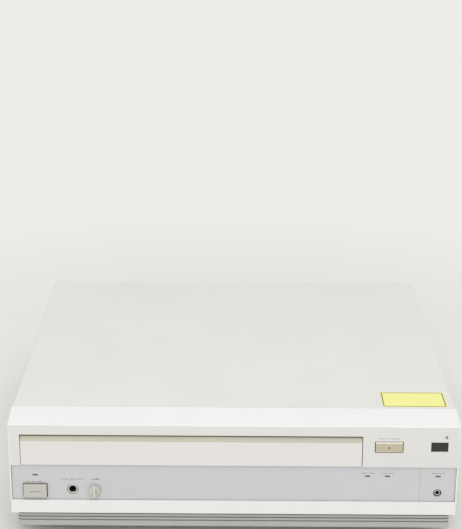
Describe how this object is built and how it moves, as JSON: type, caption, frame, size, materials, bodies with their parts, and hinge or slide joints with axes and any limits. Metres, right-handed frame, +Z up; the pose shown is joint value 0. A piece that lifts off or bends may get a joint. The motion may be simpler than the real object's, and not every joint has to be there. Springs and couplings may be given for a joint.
{
  "type": "front-loading videodisc player",
  "caption": "Front-loading videodisc player with a powered disc tray, a lifting turntable unit with a sliding pickup, and front push buttons.",
  "frame": {"origin": "bottom centre of the whole player, at the level of its feet", "axes": "+Z up, +X to the right seen from the front, front faces -Y"},
  "size_m": [0.424, 0.4034, 0.1233],
  "materials": {
    "case_plastic": "moulded, fine matt texture",
    "bezel_plastic": "moulded, painted light grey, fine texture",
    "panel_grey": "satin grey face plate",
    "cover_paint": "light grey baked paint, fine orange peel",
    "door_paint": "warm light grey satin paint",
    "door_plastic": "moulded beige",
    "button_plastic": "moulded beige-grey",
    "tray_plastic": "moulded dark grey",
    "rubber_black": "black rubber",
    "plated_steel": "zinc-plated sheet steel",
    "rear_steel": "grey painted sheet steel",
    "screw_steel": "plated steel",
    "shaft_steel": "ground steel",
    "motor_can": "drawn steel can",
    "die_cast": "die-cast alloy",
    "rail_plastic": "natural moulded plastic",
    "gear_plastic": "natural acetal",
    "lens_glass": "coated lens in a moulded holder",
    "window_dark": "dark smoked plastic",
    "lamp_clear": "clear light guide, unlit",
    "socket_nickel": "nickel plate",
    "socket_black": "black moulding",
    "board_green": "green solder mask",
    "component_black": "black sleeves and packages",
    "sink_aluminium": "extruded aluminium",
    "core_iron": "varnished laminations"
  },
  "bodies": {
    "root": {"bottom_pan": "case_plastic", "front_bezel": "bezel_plastic", "control_panel": "panel_grey", "jack_panel": "panel_grey", "top_cover": "cover_paint", "rubber_feet": "rubber_black", "loading_belt": "rubber_black", "side_frame_left": "plated_steel", "side_frame_right": "plated_steel", "mech_deck": "plated_steel", "clamp_bridge": "plated_steel", "rear_panel": "rear_steel", "cover_screws": "screw_steel", "chassis_screws": "screw_steel", "deck_posts": "screw_steel", "loading_motor": "motor_can", "lift_motor": "motor_can", "tray_rail_left": "rail_plastic", "tray_rail_right": "rail_plastic", "ir_window": "window_dark", "indicator_lenses": "lamp_clear", "phone_socket": "socket_nickel", "audio_jacks": "socket_nickel", "video_jacks": "socket_nickel", "serial_port": "socket_nickel", "remote_socket": "socket_black", "ac_inlet": "socket_black", "control_parts": "socket_black", "circuit_boards": "board_green", "board_components": "component_black", "heat_sink": "sink_aluminium", "transformer": "core_iron"},
    "tray": {"tray_plate": "tray_plastic", "tray_front": "door_plastic", "door_panel": "door_paint", "tray_rack": "gear_plastic"},
    "loading_gear": {"loading_gear": "gear_plastic"},
    "pulley_gear": {"pulley_gear": "gear_plastic"},
    "motor_pulley": {"motor_pulley": "gear_plastic"},
    "traverse": {"traverse_frame": "die_cast", "guide_rods": "screw_steel", "spindle_motor": "motor_can", "sled_motor": "motor_can"},
    "turntable": {"turntable": "die_cast", "turntable_mat": "rubber_black", "centring_cone": "gear_plastic"},
    "sled": {"pickup_sled": "die_cast"},
    "lens": {"lens_holder": "lens_glass"},
    "sled_gear": {"sled_gear": "gear_plastic"},
    "sled_pinion": {"sled_pinion": "gear_plastic"},
    "lift_cams": {"lift_cam_left": "plated_steel", "lift_cam_right": "plated_steel"},
    "lift_shaft": {"lift_shaft": "shaft_steel"},
    "lift_pinion": {"lift_pinion": "gear_plastic"},
    "clamp_arm": {"clamp_arm": "plated_steel"},
    "clamper": {"clamper": "gear_plastic"},
    "power_button": {"power_button": "button_plastic"},
    "eject_button": {"eject_button": "button_plastic"},
    "level_knob": {"level_knob": "button_plastic"}
  },
  "joints": [
    {"name": "tray_slide", "type": "slide", "parent": "root", "child": "tray", "axis": [0, -1, 0], "range_m": [0, 0.3]},
    {"name": "loading_gear_spin", "type": "hinge", "parent": "root", "child": "loading_gear", "pos_m": [0.093, -0.15325, 0.0799], "axis": [0, 0, 1], "range_deg": [-1434, 0]},
    {"name": "pulley_gear_spin", "type": "hinge", "parent": "root", "child": "pulley_gear", "pos_m": [0.0682, -0.15325, 0.062], "axis": [0, 0, 1], "range_deg": [0, 4913]},
    {"name": "motor_pulley_spin", "type": "hinge", "parent": "root", "child": "motor_pulley", "pos_m": [0.03, -0.15325, 0.062], "axis": [0, 0, 1], "range_deg": [0, 15589]},
    {"name": "traverse_lift", "type": "slide", "parent": "root", "child": "traverse", "axis": [0, 0, 1], "range_m": [0, 0.014]},
    {"name": "cam_slide", "type": "slide", "parent": "root", "child": "lift_cams", "axis": [0, -1, 0], "range_m": [0, 0.02]},
    {"name": "lift_shaft_spin", "type": "hinge", "parent": "root", "child": "lift_shaft", "pos_m": [0, -0.08525, 0.048], "axis": [1, 0, 0], "range_deg": [0, 181]},
    {"name": "lift_pinion_spin", "type": "hinge", "parent": "root", "child": "lift_pinion", "pos_m": [0.064, -0.07385, 0.048], "axis": [1, 0, 0], "range_deg": [-308, 0]},
    {"name": "clamp_arm_tilt", "type": "hinge", "parent": "root", "child": "clamp_arm", "pos_m": [-0.0402, 0.05275, 0.109], "axis": [1, 0, 0], "range_deg": [0, 1.79]},
    {"name": "clamper_spin", "type": "hinge", "parent": "clamp_arm", "child": "clamper", "pos_m": [-0.0402, -0.02725, 0.0985], "axis": [0, 0, 1], "continuous": true},
    {"name": "turntable_spin", "type": "hinge", "parent": "traverse", "child": "turntable", "pos_m": [-0.0402, -0.02725, 0.08], "axis": [0, 0, 1], "continuous": true},
    {"name": "sled_slide", "type": "slide", "parent": "traverse", "child": "sled", "axis": [0, 1, 0], "range_m": [0, 0.088]},
    {"name": "lens_focus", "type": "slide", "parent": "sled", "child": "lens", "axis": [0, 0, 1], "range_m": [-0.0008, 0.0008], "stiffness_N_per_m": 60},
    {"name": "sled_gear_spin", "type": "hinge", "parent": "traverse", "child": "sled_gear", "pos_m": [0.0266, 0.08675, 0.0648], "axis": [0, 0, 1], "range_deg": [-527, 0]},
    {"name": "sled_pinion_spin", "type": "hinge", "parent": "traverse", "child": "sled_pinion", "pos_m": [0.0266, 0.06515, 0.0648], "axis": [0, 0, 1], "range_deg": [0, 1502]},
    {"name": "power_button_press", "type": "slide", "parent": "root", "child": "power_button", "axis": [0, 1, 0], "range_m": [0, 0.003], "stiffness_N_per_m": 200},
    {"name": "eject_button_press", "type": "slide", "parent": "root", "child": "eject_button", "axis": [0, 1, 0], "range_m": [0, 0.0015], "stiffness_N_per_m": 250},
    {"name": "level_knob_turn", "type": "hinge", "parent": "root", "child": "level_knob", "pos_m": [-0.132, -0.19575, 0.0516], "axis": [0, -1, 0], "range_deg": [-150, 150]}
  ],
  "couplings": [
    {"joint": "loading_gear_spin", "follows": "tray_slide", "rad_per_m": -83.333},
    {"joint": "pulley_gear_spin", "follows": "tray_slide", "rad_per_m": 285.71},
    {"joint": "motor_pulley_spin", "follows": "tray_slide", "rad_per_m": 906.83},
    {"joint": "cam_slide", "follows": "traverse_lift", "ratio": 1.4286},
    {"joint": "lift_shaft_spin", "follows": "traverse_lift", "rad_per_m": 223.21},
    {"joint": "lift_pinion_spin", "follows": "traverse_lift", "rad_per_m": -382.65},
    {"joint": "clamp_arm_tilt", "follows": "traverse_lift", "rad_per_m": 2.2321},
    {"joint": "sled_gear_spin", "follows": "sled_slide", "rad_per_m": -104.17},
    {"joint": "sled_pinion_spin", "follows": "sled_slide", "rad_per_m": 297.62}
  ]
}
